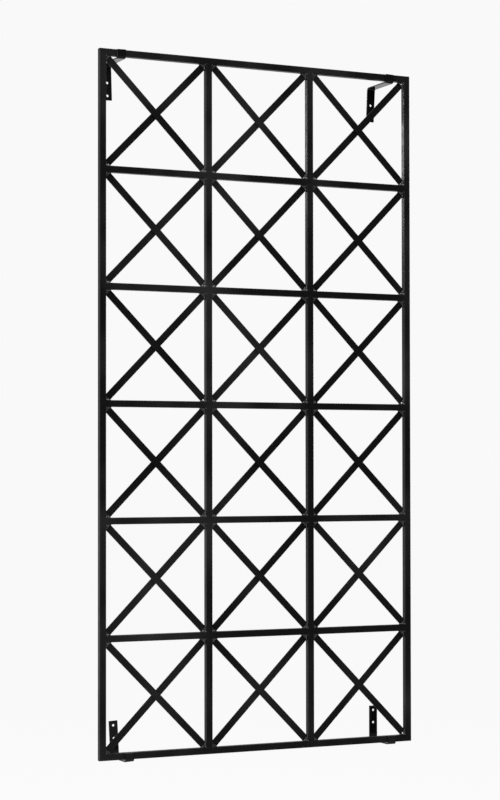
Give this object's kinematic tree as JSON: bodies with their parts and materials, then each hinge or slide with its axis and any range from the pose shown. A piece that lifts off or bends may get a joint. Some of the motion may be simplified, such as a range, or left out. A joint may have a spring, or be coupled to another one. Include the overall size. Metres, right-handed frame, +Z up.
{
  "type": "metal wall trellis",
  "caption": "Tall welded panel of square steel tube with crossed flat bars in each cell, carried off the wall by hooked strap brackets that slide along its rails.",
  "frame": {"origin": "on the wall plane, behind the middle of the panel's width and height", "axes": "+X to the right seen from the front, +Y out of the object's back into the wall, +Z up"},
  "size_m": [0.914, 0.1088, 1.8364],
  "materials": {
    "tube_coat": "satin black powder coat on steel tube",
    "flat_bar_coat": "satin black powder coat on flat steel bar",
    "bracket_coat": "satin black powder coat on bent steel strap"
  },
  "bodies": {
    "panel": {"stile_left": "tube_coat", "stile_right": "tube_coat", "rail_top": "tube_coat", "rail_bottom": "tube_coat", "mullion_left": "tube_coat", "mullion_right": "tube_coat", "mid_rail_1": "tube_coat", "mid_rail_2": "tube_coat", "mid_rail_3": "tube_coat", "mid_rail_4": "tube_coat", "mid_rail_5": "tube_coat", "brace_row1_left_falling": "flat_bar_coat", "brace_row1_left_rising": "flat_bar_coat", "brace_row1_middle_falling": "flat_bar_coat", "brace_row1_middle_rising": "flat_bar_coat", "brace_row1_right_falling": "flat_bar_coat", "brace_row1_right_rising": "flat_bar_coat", "brace_row2_left_falling": "flat_bar_coat", "brace_row2_left_rising": "flat_bar_coat", "brace_row2_middle_falling": "flat_bar_coat", "brace_row2_middle_rising": "flat_bar_coat", "brace_row2_right_falling": "flat_bar_coat", "brace_row2_right_rising": "flat_bar_coat", "brace_row3_left_falling": "flat_bar_coat", "brace_row3_left_rising": "flat_bar_coat", "brace_row3_middle_falling": "flat_bar_coat", "brace_row3_middle_rising": "flat_bar_coat", "brace_row3_right_falling": "flat_bar_coat", "brace_row3_right_rising": "flat_bar_coat", "brace_row4_left_falling": "flat_bar_coat", "brace_row4_left_rising": "flat_bar_coat", "brace_row4_middle_falling": "flat_bar_coat", "brace_row4_middle_rising": "flat_bar_coat", "brace_row4_right_falling": "flat_bar_coat", "brace_row4_right_rising": "flat_bar_coat", "brace_row5_left_falling": "flat_bar_coat", "brace_row5_left_rising": "flat_bar_coat", "brace_row5_middle_falling": "flat_bar_coat", "brace_row5_middle_rising": "flat_bar_coat", "brace_row5_right_falling": "flat_bar_coat", "brace_row5_right_rising": "flat_bar_coat", "brace_row6_left_falling": "flat_bar_coat", "brace_row6_left_rising": "flat_bar_coat", "brace_row6_middle_falling": "flat_bar_coat", "brace_row6_middle_rising": "flat_bar_coat", "brace_row6_right_falling": "flat_bar_coat", "brace_row6_right_rising": "flat_bar_coat"},
    "top_left_bracket": {"bracket_top_left": "bracket_coat"},
    "top_right_bracket": {"bracket_top_right": "bracket_coat"},
    "bottom_left_bracket": {"bracket_bottom_left": "bracket_coat"},
    "bottom_right_bracket": {"bracket_bottom_right": "bracket_coat"}
  },
  "joints": [
    {"name": "top_left_slide", "type": "slide", "parent": "panel", "child": "top_left_bracket", "axis": [1, 0, 0], "range_m": [-0.009, 0.207]},
    {"name": "top_right_slide", "type": "slide", "parent": "panel", "child": "top_right_bracket", "axis": [1, 0, 0], "range_m": [-0.201, 0.014]},
    {"name": "bottom_left_slide", "type": "slide", "parent": "panel", "child": "bottom_left_bracket", "axis": [1, 0, 0], "range_m": [-0.066, 0.341]},
    {"name": "bottom_right_slide", "type": "slide", "parent": "panel", "child": "bottom_right_bracket", "axis": [1, 0, 0], "range_m": [-0.353, 0.048]}
  ]
}
